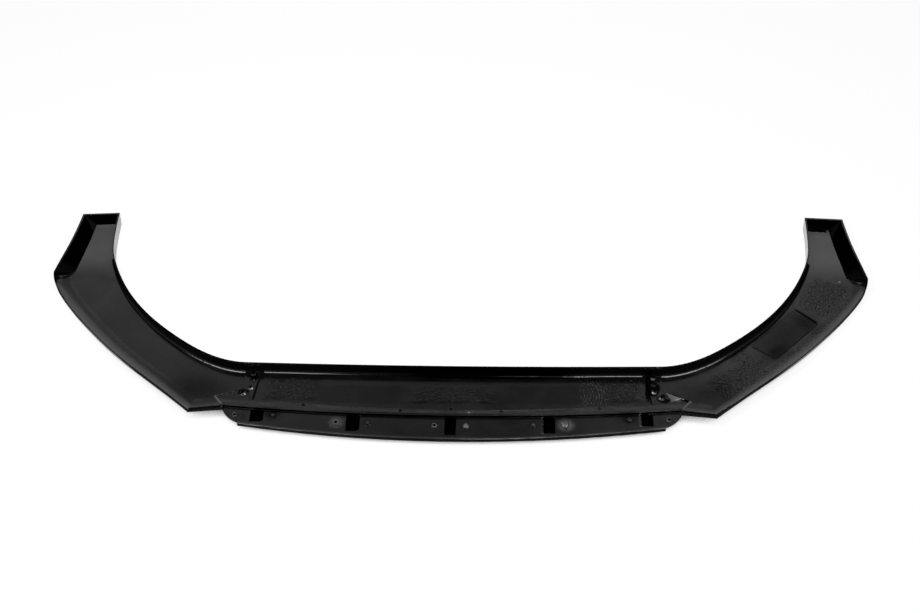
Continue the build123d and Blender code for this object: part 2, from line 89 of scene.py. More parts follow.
class MouldingSettings(bpy.types.PropertyGroup):
    """Finish of the black mouldings."""

    hollow_colour: colour_prop("Hollow side", (0.0016, 0.0016, 0.0017), "Colour of the unfinished side")
    road_colour: colour_prop("Road side", (0.0025, 0.0025, 0.0027), "Colour of the finished side")
    hollow_roughness: share_prop("Hollow roughness", 0.19, "Roughness of the unfinished side")
    road_roughness: share_prop("Road roughness", 0.14, "Roughness of the finished side")
    wall_roughness: share_prop("Wall roughness", 0.08, "Roughness of walls and coves")
    # Painted sheen: the floors of the tip pockets are made lighter in place of the reflection of the light
    # behind them
    haze_colour: colour_prop("Haze", (0.05, 0.05, 0.05), "Colour of the painted sheen on the floors of the tip pockets")
    # Painted highlights along edges, and pale dots and halos, take this colour and this roughness
    worn_colour: colour_prop("Highlights and marks", (0.16, 0.16, 0.158), "Colour of the painted highlights along edges, and of pale dots and halos")
    worn_roughness: share_prop("Worn roughness", 0.6, "Roughness of the painted highlights, the pale marks and the gusset")
    # Painted reflection: pale strips on the glossy outer sides of the tips
    tape_colour: colour_prop("Tape", (0.75, 0.75, 0.74), "Colour of the painted reflections on the outer sides of the tips")
    grain: length_prop("Grain", 0.0028, "Size of the moulded grain")
    grain_depth: length_prop("Grain depth", 0.00005, "Height of the moulded grain")
    speckle: length_prop("Speckle", 0.0031, "Size of the coarse cells in the rough patches")
    speckle_depth: length_prop("Speckle depth", 0.0002, "Height of the coarse cells")
    edge_round: length_prop("Edge round", 0.0009, "Radius that softens the moulded edges")


class FastenerSettings(bpy.types.PropertyGroup):
    """Sizes and colours of the push nuts and of the melted posts."""

    teeth: IntProperty(name="Teeth", description="Spring teeth of a push nut", default=6, min=3, max=12)
    tooth_tilt: angle_prop("Tooth tilt", 28, "Lean of the spring teeth")
    nut_thickness: length_prop("Nut sheet", 0.0009, "Thickness of the push nuts' sheet")
    steel_colour: colour_prop("Steel", (0.13, 0.13, 0.135), "Colour of the push nuts")
    melt_colour: colour_prop("Melted plastic", (0.006, 0.006, 0.0062), "Colour of the melted post heads")
    melt_bump: length_prop("Melt bump", 0.0008, "Unevenness of the melted heads")


class StageSettings(bpy.types.PropertyGroup):
    """Camera, floor and light."""

    camera_place: FloatVectorProperty(name="Camera", description="Place of the camera", size=3,
                                      default=(0.0959, -1.6664, 1.9106), subtype="TRANSLATION",
                                      unit="LENGTH")
    camera_yaw: angle_prop("Yaw", -2.913, "Turn of the camera from straight ahead")
    camera_fall: angle_prop("Fall", 48.0, "Downward angle of the camera")
    camera_roll: angle_prop("Roll", 1.62, "Turn of the picture about its middle")
    lens: FloatProperty(name="Lens", description="Focal length on a 36 mm wide sensor, in mm",
                        default=50.435, min=1.0)
    floor_reach: length_prop("Floor", 14.0, "Side of the floor")
    floor_glow: share_prop("Floor glow", 0.88, "Own brightness of the floor, where its white shows")
    floor_colour: colour_prop("Floor colour", (0.16, 0.16, 0.16), "Colour that takes the shadow")


def settings(group):
    """One of the scene's groups of settings."""
    return getattr(bpy.context.scene, "splitter_" + group)


def add(tree, kind, inputs=None, **options):
    """New node with its options and its socket values; a socket given as a value is linked."""
    made = tree.nodes.new(kind)
    for key, value in options.items():
        setattr(made, key, value)
    for key, value in (inputs or {}).items():
        if isinstance(value, bpy.types.NodeSocket):
            tree.links.new(value, made.inputs[key])
        else:
            made.inputs[key].default_value = value
    return made


def calc(tree, operation, first, second=0.0, clamp=False):
    """Result of a math node."""
    made = add(tree, "ShaderNodeMath", {0: first, 1: second}, operation=operation, use_clamp=clamp)
    return made.outputs[0]


def times(tree, first, second, clamp=False):
    """Product of two values."""
    return calc(tree, "MULTIPLY", first, second, clamp)


def most(tree, first, second):
    """Larger of two values."""
    return calc(tree, "MAXIMUM", first, second)


def left_over(tree, share):
    """What a share leaves of the whole."""
    return calc(tree, "SUBTRACT", 1.0, share)


def largest(tree, masks):
    """Largest of several masks."""
    worst = 0.0
    for mask in masks:
        worst = most(tree, mask, worst)
    return worst


def vector(tree, operation, first, second, output=0):
    """Result of a vector math node."""
    return add(tree, "ShaderNodeVectorMath", {0: first, 1: second}, operation=operation).outputs[output]


def scaled(tree, run, share):
    """Vector times a share."""
    return add(tree, "ShaderNodeVectorMath", {0: run, "Scale": share}, operation="SCALE").outputs[0]


def combined(tree, parts):
    """Vector of its given parts, by axis."""
    return add(tree, "ShaderNodeCombineXYZ", parts).outputs[0]


def remap(tree, value, low, high, to_low=0.0, to_high=1.0, smooth=False):
    """Value moved from one range to another."""
    made = add(tree, "ShaderNodeMapRange", {"Value": value, "From Min": low, "From Max": high,
                                            "To Min": to_low, "To Max": to_high},
               interpolation_type="SMOOTHSTEP" if smooth else "LINEAR")
    return made.outputs[0]


def blend(tree, share, first, second, kind="FLOAT"):
    """Mix of two values or two colours."""
    made = add(tree, "ShaderNodeMix", data_type=kind)
    *spots, result = {"FLOAT": (0, 2, 3, 0), "RGBA": (0, 6, 7, 2)}[kind]
    for spot, value in zip(spots, (share, first, second)):
        if isinstance(value, bpy.types.NodeSocket):
            tree.links.new(value, made.inputs[spot])
        else:
            made.inputs[spot].default_value = value
    return made.outputs[result]


def noise(tree, place, scale, detail=2.0, distortion=0.0):
    """Value of a noise texture."""
    return add(tree, "ShaderNodeTexNoise", {"Vector": place, "Scale": scale, "Detail": detail,
                                            "Distortion": distortion}).outputs[0]


def own_place(tree):
    """Place on the piece, in its own coordinates."""
    return add(tree, "ShaderNodeTexCoord").outputs["Object"]


def fac(tree, name):
    """Value of one of the mesh's attributes."""
    return add(tree, "ShaderNodeAttribute", attribute_name=name).outputs["Fac"]


def use(tree, build, values):
    """Copy of a shader group with its own values; the group is built at its first use."""
    group = bpy.data.node_groups.get(build.__name__) or build(build.__name__)
    return add(tree, "ShaderNodeGroup", values, node_tree=group)


SOCKETS = {int: "NodeSocketInt", float: "NodeSocketFloat", tuple: "NodeSocketVector"}


def new_inputs(tree, inputs):
    """Input sockets of a group, by name and default."""
    for label, default in inputs.items():
        kind = SOCKETS[type(default)]
        tree.interface.new_socket(name=label, in_out="INPUT", socket_type=kind).default_value = default


def ends(tree):
    """Sockets through which a group takes its values, and those that take its results."""
    return tree.nodes.new("NodeGroupInput").outputs, tree.nodes.new("NodeGroupOutput").inputs


def new_group(name, inputs, outputs):
    """Shader group with its sockets."""
    tree = bpy.data.node_groups.new(name, "ShaderNodeTree")
    new_inputs(tree, inputs)
    for label in outputs:
        tree.interface.new_socket(name=label, in_out="OUTPUT", socket_type="NodeSocketFloat")
    return tree, *ends(tree)


NOWHERE = (0.0, 0.0, 0.0)  # no shift and no turn
PLAN = (1.0, 1.0, 0.0)  # keeps the X and the Y of a place and drops its height
GRAIN_DETAIL = 1.5  # detail of the fine grain
MOTTLE_DETAIL = (4.0, 0.6)  # detail and distortion of the mottling
MOTTLE_RANGE = (0.32, 0.68)  # noise values between which it runs


def moulded_grain(name):
    """Fine moulded grain and the slow mottling under it."""
    tree, given, out = new_group(name, {"Grain": 350.0, "Mottle": 14.0}, ["Height", "Mottle"])
    place = own_place(tree)
    slow = noise(tree, place, given["Mottle"], *MOTTLE_DETAIL)
    tree.links.new(noise(tree, place, given["Grain"], GRAIN_DETAIL), out["Height"])
    tree.links.new(remap(tree, slow, *MOTTLE_RANGE), out["Mottle"])
    return tree


# Directions of the scuffs: turn about Z, fineness along each axis
SCUFF_RUNS = ((0.7, (28.0, 420.0, 60.0)), (-0.5, (34.0, 520.0, 60.0)))
SCUFF_DETAIL = (2.0, 0.3)  # detail and distortion of their lines
SCUFF_RANGE = (0.66, 0.8)  # noise values where a scuff begins and is whole
SCUFF_FIELDS = 9.0  # fineness of the fields that have scuffs
SCUFF_FIELD_RANGE = (0.48, 0.66)  # noise values where such a field begins and is whole


def scuff_marks(name):
    """Thin light rubs and scratches in two directions."""
    tree, given, out = new_group(name, {"Density": 0.5}, ["Mask"])
    place = own_place(tree)
    marks = []
    for turn, fineness in SCUFF_RUNS:
        laid = add(tree, "ShaderNodeMapping", {"Vector": place, "Rotation": (0.0, 0.0, turn),
                                               "Scale": fineness}).outputs[0]
        marks.append(remap(tree, noise(tree, laid, 1.0, *SCUFF_DETAIL), *SCUFF_RANGE))
    where = remap(tree, noise(tree, place, SCUFF_FIELDS), *SCUFF_FIELD_RANGE)
    mask = times(tree, times(tree, most(tree, *marks), where), given["Density"], True)
    tree.links.new(mask, out["Mask"])
    return tree


PATCH_FRAY = (3.0, 0.6)  # detail and reach of a patch's ragged rim
PATCH_RIM = 1.36  # distance from its middle at which a patch ends, in half sizes
CELL_SOFT = 0.6  # smoothness of the coarse cells
LUMP_SHARE = 0.7  # fineness of the lumps among the cells, as a share of the cells' own


def rough_patch(name):
    """Turned patch, square or round, whose ragged rim is hard or soft, and the coarse cells in it."""
    tree, given, out = new_group(name, {
        "Middle": NOWHERE, "Turn": 0.0, "Half Length": 0.1, "Half Width": 0.05, "Cells": 180.0,
        "Fray": 38.0, "Round": 0.0, "Core": 0.98}, ["Mask", "Height"])
    place = own_place(tree)
    turned = add(tree, "ShaderNodeVectorRotate", {"Vector": place, "Center": given["Middle"],
                                                  "Angle": given["Turn"]}, rotation_type="Z_AXIS").outputs[0]
    axes = add(tree, "ShaderNodeSeparateXYZ", {0: vector(tree, "SUBTRACT", turned, given["Middle"])}).outputs
    along = calc(tree, "DIVIDE", calc(tree, "ABSOLUTE", axes[0]), given["Half Length"])
    across = calc(tree, "DIVIDE", calc(tree, "ABSOLUTE", axes[1]), given["Half Width"])
    square = most(tree, along, across)
    circle = calc(tree, "SQRT", calc(tree, "ADD", times(tree, along, along), times(tree, across, across)))
    detail, reach = PATCH_FRAY
    fray = times(tree, noise(tree, place, given["Fray"], detail), reach)
    ragged = calc(tree, "ADD", blend(tree, given["Round"], square, circle), fray)
    mask = remap(tree, ragged, PATCH_RIM, given["Core"], smooth=True)
    cells = add(tree, "ShaderNodeTexVoronoi", {"Vector": place, "Scale": given["Cells"],
                                               "Smoothness": CELL_SOFT}, feature="SMOOTH_F1")
    fine = noise(tree, place, times(tree, given["Cells"], LUMP_SHARE))
    lumps = calc(tree, "ADD", cells.outputs["Distance"], fine)
    tree.links.new(mask, out["Mask"])
    tree.links.new(times(tree, lumps, mask), out["Height"])
    return tree


LINE_RIM = (1.0, 0.4)  # distances at which a painted line ends and is whole, in half widths
LINE_BREAKS = (300.0, 0.3, 0.6)  # fineness of its breaks, and noise values between which they run


def worn_line(name):
    """Thin line between two places of the plan, with breaks, for painted highlights, pale marks and painted
    shade.
    """
    tree, given, out = new_group(name, {"From": NOWHERE, "To": NOWHERE, "Width": 0.001, "Least": 0.35},
                                 ["Mask"])
    place = own_place(tree)
    run = vector(tree, "SUBTRACT", given["To"], given["From"])
    reach = vector(tree, "SUBTRACT", vector(tree, "MULTIPLY", place, PLAN), given["From"])
    share = calc(tree, "DIVIDE", vector(tree, "DOT_PRODUCT", reach, run, "Value"),
                 vector(tree, "DOT_PRODUCT", run, run, "Value"), True)
    far = vector(tree, "DISTANCE", reach, scaled(tree, run, share), "Value")
    near = remap(tree, calc(tree, "DIVIDE", far, given["Width"]), *LINE_RIM)
    fineness, low, high = LINE_BREAKS
    patchy = remap(tree, noise(tree, place, fineness), low, high, given["Least"], 1.0)
    tree.links.new(times(tree, near, patchy), out["Mask"])
    return tree


ARC_RIM = (1.0, 0.2)  # distances at which a band ends and is whole, in half widths
ARC_BREAKS = (24.0, 3.0)  # fineness and detail of its breaks
ARC_RANGE = (0.3, 0.65, 0.45, 1.0)  # noise values between which they run, and what they leave there


def worn_arc(name):
    """Soft band along a large circle of the plan."""
    tree, given, out = new_group(name, {"Middle": NOWHERE, "Radius": 1.0, "Width": 0.003}, ["Mask"])
    place = own_place(tree)
    far = vector(tree, "DISTANCE", vector(tree, "MULTIPLY", place, PLAN), given["Middle"], "Value")
    off = calc(tree, "ABSOLUTE", calc(tree, "SUBTRACT", far, given["Radius"]))
    near = remap(tree, calc(tree, "DIVIDE", off, given["Width"]), *ARC_RIM, smooth=True)
    patchy = remap(tree, noise(tree, place, *ARC_BREAKS), *ARC_RANGE)
    tree.links.new(times(tree, near, patchy), out["Mask"])
    return tree


def emptied(owner):
    """Node tree of a material or of a world, without its first nodes."""
    owner.use_nodes = True
    owner.node_tree.nodes.clear()
    return owner.node_tree


def new_material(name):
    """Empty node material with its Principled shader wired to the output."""
    material = bpy.data.materials.new(name)
    tree = emptied(material)
    shader = add(tree, "ShaderNodeBsdfPrincipled")
    output = add(tree, "ShaderNodeOutputMaterial")
    tree.links.new(shader.outputs[0], output.inputs["Surface"])
    return material, tree, shader


def wire(tree, shader, values):
    """Link values to the sockets of a shader."""
    for label, value in values.items():
        tree.links.new(value, shader.inputs[label])


def bumped(tree, height, **more):
    """Normal of a surface with a height in metres."""
    return add(tree, "ShaderNodeBump", {"Height": height, "Distance": 1.0, **more}).outputs[0]


def rgba(colour):
    """Colour with full alpha."""
    return (*colour, 1.0)


# Rough patches of the hollow side: middle in X and Y, turn from the X axis in degrees, half length,
# half width, strength
ROUGH_PATCHES = (
    (0.565, -0.135, -40, 0.085, 0.05, 1.3),
    (0.655, -0.03, -47, 0.15, 0.06, 1.25),
    (0.735, 0.075, -62, 0.06, 0.05, 1.45),
    (0.0, -0.185, 0, 0.085, 0.022, 0.95),
    (0.31, -0.172, 0, 0.05, 0.03, 1.25),
    (-0.3, -0.174, 0, 0.055, 0.03, 1.2),
)
SMOOTH_DISH = (0.639, -0.025, -46.6, 0.1, 0.038)  # recess of the right wing, free of cells
# Black patches around the seams and the tabs' nuts and at a notch of the right tip, and a strip of painted
# shade along the middle of the rear rim's cove, in the same terms without a strength
DARK_PATCHES_AND_SHADE = (
    (0.3665, -0.165, 6, 0.007, 0.036),
    (0.377, -0.172, 20, 0.011, 0.018),
    (0.393, -0.193, 0, 0.014, 0.012),
    (0.769, 0.2705, 0, 0.0075, 0.006),
    (0.075, -0.1405, 0, 0.184, 0.009),
    (-0.373, -0.153, 0, 0.008, 0.011),
    (-0.39, -0.187, 0, 0.012, 0.008),
)
DARK_PATCH_FRAY = 210.0  # fineness of these patches' edges
# Soft dark patches, in the terms of the rough patches: painted shade over the recess of the right wing,
# beside the chin's tabs and along the middle of the rear rim's cove, and dark rings around posts
SHADE_PATCHES = (
    (0.618, -0.068, -40, 0.055, 0.03, 0.55),
    (0.684, 0.01, -46.6, 0.04, 0.05, 0.5),
    (0.41, -0.186, -19, 0.03, 0.016, 0.4),
    (0.475, -0.178, -10, 0.08, 0.045, 0.4),
    (-0.475, -0.178, 10, 0.08, 0.045, 0.4),
    (0.327, -0.234, 0, 0.026, 0.02, 0.6),
    (-0.33, -0.234, 0, 0.024, 0.018, 0.55),
    (0.398, -0.2375, 0, 0.02, 0.017, 0.55),
    (-0.398, -0.2375, 0, 0.024, 0.017, 0.6),
    (-0.01, -0.139, 0, 0.27, 0.007, 0.85),
    (0.645, -0.02, -46.6, 0.12, 0.05, 0.3),
)
# Smooth darker fields of the centre panel, in the same terms
FIELDS = (
    (-0.167, -0.188, 0, 0.093, 0.024, 0.2),
    (0.169, -0.185, 0, 0.093, 0.024, 0.2),
)
SHADE_CORE = 0.35  # how far the rim of a soft dark patch fades inwards, from none at about 1
# Painted shade on the walls of the tips, which are made black: where it begins and is whole along Y, and how
# black it is
TIP_WALL_SHADE = (0.13, 0.16, 0.93)
# Painted shade on the chin's steep faces, such as its nose and its step, which are made black: slopes at
# which it begins and is whole, and how black it is there
CHIN_EDGE_SHADE = (0.1, 0.5, 0.0, 0.9)
GUSSET = (0.41, -0.186, -19, 0.026, 0.013)  # web on the chin's right tab, rubbed matt
RECESS_SHADE_LEAST = 0.8  # strength left in the breaks of the painted shade lines
# Painted shade in the steps of the recess: two places in X and Y, half width, strength
RECESS_SHADE_LINES = (
    (0.6705, 0.0445, 0.7055, 0.0125, 0.0034, 0.95),
    (0.7065, 0.0065, 0.616, -0.087, 0.0026, 0.7),
    (0.5745, -0.0605, 0.6105, -0.0865, 0.0022, 0.6),
)
SPECK_MEAN = 0.84  # usual height of the coarse cells
SPECK_DARK = 0.5  # darkness of a cell for its height above that
# Light flecks: heights over the usual one at which they begin and are whole, and how light they are there
FLECKS = (-0.1, -0.35, 0.0, 0.55)
FLOOR_DARK = 0.16  # darkness that all level faces share
GRAIN_DARK = (0.35, 0.65, 0.0, 0.14)  # heights of the fine grain, and its darkness at them
MOTTLE_PALE = 1.5  # how much paler the hollow side is at the top of its mottling
MOTTLE_ROUGH = 0.05  # how much smoother and rougher it is at both ends of it
ROUND_SAMPLES = 4  # rays that soften the moulded edges
# Pale lines, dots and halos, in the terms of the recess shade lines: painted highlights along the tabs'
# edges, the gusset and the slots' edges, then pale dots, then pale halos around posts
HIGHLIGHT_AND_MARK_LINES = (
    (0.4415, -0.1975, 0.4275, -0.215, 0.0022, 0.8),
    (-0.4415, -0.1975, -0.4275, -0.215, 0.0022, 0.8),
    (0.3975, -0.1835, 0.428, -0.1945, 0.0022, 0.75),
    (0.402, -0.188, 0.419, -0.1945, 0.007, 0.25),
    (-0.4015, -0.1875, -0.439, -0.2, 0.003, 0.28),
    (0.3475, -0.2255, 0.3475, -0.25, 0.0032, 0.6),
    (0.1685, -0.2355, 0.1685, -0.269, 0.003, 0.45),
    (0.033, -0.2295, 0.034, -0.2295, 0.0022, 1.0),
    (0.7685, 0.1235, 0.7705, 0.1255, 0.0028, 0.9),
    (-0.4, -0.2375, -0.398, -0.2375, 0.016, 0.14),
    (-0.211, -0.251, -0.209, -0.251, 0.016, 0.3),
    (0.398, -0.2375, 0.4, -0.2375, 0.017, 0.12),
    (0.209, -0.251, 0.213, -0.251, 0.017, 0.35),
)
# Painted highlights along the nose and the flange: middle of the circle, radius, half width, strength
HIGHLIGHT_ARCS = (
    ((0.0, 2.2886, 0.0), 2.5738, 0.005, 0.16),
    ((0.0, 4.703, 0.0), 4.9305, 0.0075, 0.13),
)
# Painted reflections of the pale floor on the outer sides of both tips, in the terms of the black patches
TIP_REFLECTIONS = (
    (-0.713, 0.243, 0, 0.02, 0.062),
    (0.713, 0.243, 0, 0.02, 0.062),
)
FLOW = (0.264, -0.178, 0, 0.031, 0.034)  # where flow marks show on the centre panel
RIPPLES = ((0.222, -0.183, 0.0), 0.0055, 0.85)  # flow marks in rings: their middle, spacing and strength
RING_TURN = pi / 10  # scale at which the rings of a wave are one metre apart
RING_WOBBLE = {"Distortion": 2.5, "Detail": 2.0, "Detail Scale": 1.2}  # unevenness of the rings
RING_CREST = (0.65, 1.0)  # heights of a wave at which its light line begins and is whole
RING_BREAKS = (170.0, 0.44, 0.58)  # fineness of the gaps in the rings, noise values where they end and begin
SCUFFS = (0.15, 0.4)  # density of the scuffs outside and inside the flow marks
RUBBED = (0.05, 0.05, 0.052)  # colour of the scuffs
TIP_SHEEN_RUN = (0.11, 0.2)  # where the painted sheen of the tip floors begins and is whole, along Y


def patch(tree, shape, **values):
    """Outputs of one patch: its mask, and the height of its cells."""
    x, y, turn, length, width = shape
    return use(tree, rough_patch, {"Middle": (x, y, 0.0), "Turn": radians(turn), "Half Length": length,
                                   "Half Width": width, **values}).outputs


def patch_mask(tree, shape, **values):
    """Mask of one patch."""
    return patch(tree, shape, **values)["Mask"]


def line_mask(tree, line, **values):
    """Mask of one line of the plan."""
    x, y, end_x, end_y, width = line
    return use(tree, worn_line, {"From": (x, y, 0.0), "To": (end_x, end_y, 0.0), "Width": width,
                                 **values}).outputs["Mask"]


def weighted(tree, mask, rows, **values):
    """Masks of several rows, each times the strength at the row's end."""
    return [times(tree, mask(tree, row, **values), strength) for *row, strength in rows]


def rough_cells(tree, fineness):
    """Coarse cells of the rough patches: their height, and how far it is over the usual one."""
    lumps = usual = 0.0
    for *shape, strength in ROUGH_PATCHES:
        cells = patch(tree, shape, Cells=fineness)
        lumps = most(tree, times(tree, cells["Height"], strength), lumps)
        usual = most(tree, times(tree, cells["Mask"], strength), usual)
    around_dish = left_over(tree, patch_mask(tree, SMOOTH_DISH))
    lumps = times(tree, lumps, around_dish)
    usual = times(tree, times(tree, usual, around_dish), SPECK_MEAN)
    return lumps, calc(tree, "SUBTRACT", lumps, usual)


def light_marks(tree, place):
    """Scuffs, and flow marks in broken rings, on the hollow side."""
    flow = patch_mask(tree, FLOW)
    density = remap(tree, flow, 0.0, 1.0, *SCUFFS)
    scuffs = use(tree, scuff_marks, {"Density": density}).outputs["Mask"]
    middle, spacing, strength = RIPPLES
    rings = add(tree, "ShaderNodeTexWave", {"Vector": vector(tree, "SUBTRACT", place, middle),
                                            "Scale": RING_TURN / spacing, **RING_WOBBLE},
                wave_type="RINGS", rings_direction="Z").outputs["Fac"]
    fineness, low, high = RING_BREAKS
    broken = remap(tree, noise(tree, place, fineness), low, high, 0.0, strength)
    ripples = times(tree, times(tree, remap(tree, rings, *RING_CREST), broken), flow)
    return most(tree, scuffs, ripples)


def rubbed_edges(tree, chin):
    """Painted highlights and pale marks of all mouldings, and painted highlight bands along the chin's nose
    and flange.
    """
    masks = weighted(tree, line_mask, HIGHLIGHT_AND_MARK_LINES)
    for middle, radius, width, strength in HIGHLIGHT_ARCS:
        arc = use(tree, worn_arc, {"Middle": middle, "Radius": radius, "Width": width}).outputs["Mask"]
        masks.append(times(tree, arc, times(tree, chin, strength)))
    return largest(tree, masks)


def dark_marks(tree):
    """Masks of the black patches, of the painted shade in patches and lines, and of the darker fields of the
    hollow side.
    """
    return [*(patch_mask(tree, shape, Fray=DARK_PATCH_FRAY, Round=1.0) for shape in DARK_PATCHES_AND_SHADE),
            *weighted(tree, patch_mask, SHADE_PATCHES, Round=1.0, Core=SHADE_CORE),
            *weighted(tree, patch_mask, FIELDS),
            *weighted(tree, line_mask, RECESS_SHADE_LINES, Least=RECESS_SHADE_LEAST)]


def moulding_material():
    """Black moulding: grained on its hollow side, glossy on its road side."""
    if "black_moulding" in bpy.data.materials:
        return bpy.data.materials["black_moulding"]
    s = settings("moulding")
    material, tree, shader = new_material("black_moulding")
    road, wall, chin, crest = (fac(tree, name) for name in (ROAD_SIDE, STEEP, CHIN, CREST))
    inside = left_over(tree, road)
    level = times(tree, inside, left_over(tree, wall))
    place = own_place(tree)
    behind = add(tree, "ShaderNodeSeparateXYZ", {0: place}).outputs[1]
    grain = use(tree, moulded_grain, {"Grain": 1.0 / s.grain}).outputs
    lumps, uneven = rough_cells(tree, 1.0 / s.speckle)
    # Painted highlights on the tabs, the gusset, the slots, the nose and the flange, with pale dots and halos
    highlights = rubbed_edges(tree, chin)
    gusset = times(tree, patch_mask(tree, GUSSET), chin)

    flecks = times(tree, remap(tree, uneven, *FLECKS), level)
    scuffs = most(tree, light_marks(tree, place), flecks)
    pale = rgba(part * MOTTLE_PALE for part in s.hollow_colour)
    hollow = blend(tree, grain["Mottle"], rgba(s.hollow_colour), pale, "RGBA")
    rubbed = blend(tree, scuffs, hollow, rgba(RUBBED), "RGBA")
    # Painted sheen on the level floors of the tip pockets
    tip_sheen = times(tree, remap(tree, behind, *TIP_SHEEN_RUN, smooth=True), level)
    sheened_floor = blend(tree, tip_sheen, rubbed, rgba(s.haze_colour), "RGBA")
    marked = blend(tree, highlights, sheened_floor, rgba(s.worn_colour), "RGBA")
    # Painted reflections of the pale floor on the outer sides of the tips
    painted_reflection = largest(tree, [patch_mask(tree, shape) for shape in TIP_REFLECTIONS])
    glossy = blend(tree, painted_reflection, rgba(s.road_colour), rgba(s.tape_colour), "RGBA")

    matt = remap(tree, grain["Mottle"], 0.0, 1.0, s.hollow_roughness - MOTTLE_ROUGH,
                 s.hollow_roughness + MOTTLE_ROUGH)
    rough = blend(tree, gusset, blend(tree, wall, matt, s.wall_roughness), s.worn_roughness)
    rough = blend(tree, highlights, rough, s.worn_roughness)

    # Painted shade: the walls of the tips are blackened
    first, whole, black = TIP_WALL_SHADE
    tip = times(tree, remap(tree, behind, first, whole, 0.0, black, smooth=True), wall)
    # Painted shade: the chin's steep faces are blackened, apart from the gusset
    edge = times(tree, calc(tree, "SUBTRACT", chin, gusset), remap(tree, wall, *CHIN_EDGE_SHADE))
    # Metallic with a near-black colour takes the sheen away: black rim tops, painted shade on the tip walls,
    # the chin's steep faces, the recess and the rear cove, the black patches, and the darker grain and cells
    shade_and_dark_marks = largest(tree, [crest, tip, edge, *dark_marks(tree)])
    specks = times(tree, calc(tree, "ADD", times(tree, uneven, SPECK_DARK), FLOOR_DARK), level)
    shade_and_dark_marks = calc(tree, "ADD", shade_and_dark_marks, specks, True)
    shade_and_dark_marks = calc(tree, "ADD", shade_and_dark_marks, remap(tree, grain["Height"], *GRAIN_DARK), True)

    fine = times(tree, grain["Height"], s.grain_depth)
    coarse = times(tree, lumps, s.speckle_depth)
    height = times(tree, calc(tree, "ADD", fine, coarse), level)
    rounded = add(tree, "ShaderNodeBevel", {"Radius": s.edge_round}, samples=ROUND_SAMPLES).outputs[0]
    wire(tree, shader, {
        "Base Color": blend(tree, road, marked, glossy, "RGBA"),
        "Roughness": blend(tree, road, rough, s.road_roughness),
        "Metallic": times(tree, times(tree, shade_and_dark_marks, inside), left_over(tree, highlights)),
        "Normal": bumped(tree, height, Normal=rounded)})
    return material


FIN_PEEL = (120.0, 0.00003)  # fineness and depth of the fins' orange peel
FIN_DULL = 0.08  # how much rougher a fin is at the top of its mottling
FIN_PALE = 1.4  # and how much paler


def fin_material():
    """Gloss black of the fins, with a faint orange peel; their hollow side is blackened, painted shade."""
    s = settings("moulding")
    material, tree, shader = new_material("gloss_black")
    fineness, depth = FIN_PEEL
    grain = use(tree, moulded_grain, {"Grain": fineness}).outputs
    pale = rgba(part * FIN_PALE for part in s.road_colour)
    wire(tree, shader, {
        "Base Color": blend(tree, grain["Mottle"], rgba(s.road_colour), pale, "RGBA"),
        "Roughness": remap(tree, grain["Mottle"], 0.0, 1.0, s.road_roughness, s.road_roughness + FIN_DULL),
        # Painted shade: the hollow side, seen through the slots, is made black
        "Metallic": left_over(tree, fac(tree, ROAD_SIDE)),
        "Normal": bumped(tree, times(tree, grain["Height"], depth))})
    return material


HEAD_TRAITS = ("pale", "spread", "crater")  # attributes of the melted heads; a low paleness also blackens a head, painted shade over its glints
RADIAL = "radial"  # attribute: distance from a head's middle, in its own radius
MELT_GRAIN = {"Grain": 600.0, "Mottle": 260.0}  # fineness of their grain and of their spots
MELT_DEPTH = 0.0003  # height of the grain
MELT_SPOTS = (0.25, 0.75)  # mottling at which a pale spot begins and is whole
MELT_HOLE = (0.6, 0.45)  # distances from the middle at which a crater ends and is whole; the crater is blackened, painted shade
MELT_BLACK = (0.05, 0.4, 0.85, 0.0)  # paleness of a head, and its blackness at that: painted shade that dims the glints of the less pale heads
MELT_ROUGH = (0.3, 0.7, 0.38, 0.55)  # heights of the grain, and the roughness at them
PALE_SPOT_COLOUR = (0.14, 0.14, 0.138)  # colour of the pale spots


def melt_material():
    """Plastic that was melted over: shiny lumps with pale spots; the craters and the less pale heads are
    blackened, painted shade.
    """
    s = settings("fastener")
    material, tree, shader = new_material("melted_plastic")
    grain = use(tree, moulded_grain, MELT_GRAIN).outputs
    pale = fac(tree, HEAD_TRAITS[0])
    hole = times(tree, fac(tree, HEAD_TRAITS[2]), remap(tree, fac(tree, RADIAL), *MELT_HOLE))
    spots = times(tree, pale, remap(tree, grain["Mottle"], *MELT_SPOTS))
    spots = times(tree, spots, left_over(tree, hole))
    wire(tree, shader, {
        "Base Color": blend(tree, spots, rgba(s.melt_colour), rgba(PALE_SPOT_COLOUR), "RGBA"),
        "Roughness": remap(tree, grain["Height"], *MELT_ROUGH),
        "Metallic": most(tree, hole, remap(tree, pale, *MELT_BLACK)),
        "Normal": bumped(tree, times(tree, grain["Height"], MELT_DEPTH))})
    return material


NUT_LIGHT = "shade"  # attribute: brightness of a push nut, painted light and shade for its glint or its darkness
STEEL_GRAIN = {"Grain": 900.0, "Mottle": 220.0}  # fineness of the plating's grain and mottling
STEEL_UNEVEN = (0.0, 1.0, 0.5, 1.0)  # mottling of the plating, and its brightness at that
STEEL_ROUGH = (0.3, 0.7, 0.24, 0.4)  # heights of its grain, and the roughness at them
STEEL_DARK = (0.004, 0.004, 0.004)  # colour of a nut without brightness


def steel_material():
    """Zinc plated spring steel with a slightly uneven shine, lightened or darkened per nut as painted light
    and shade.
    """
    s = settings("fastener")
    material, tree, shader = new_material("zinc_plate")
    shader.inputs["Metallic"].default_value = 1.0
    grain = use(tree, moulded_grain, STEEL_GRAIN).outputs
    bright = times(tree, fac(tree, NUT_LIGHT), remap(tree, grain["Mottle"], *STEEL_UNEVEN))
    wire(tree, shader, {
        "Base Color": blend(tree, bright, rgba(STEEL_DARK), rgba(s.steel_colour), "RGBA"),
        "Roughness": remap(tree, grain["Height"], *STEEL_ROUGH)})
    return material


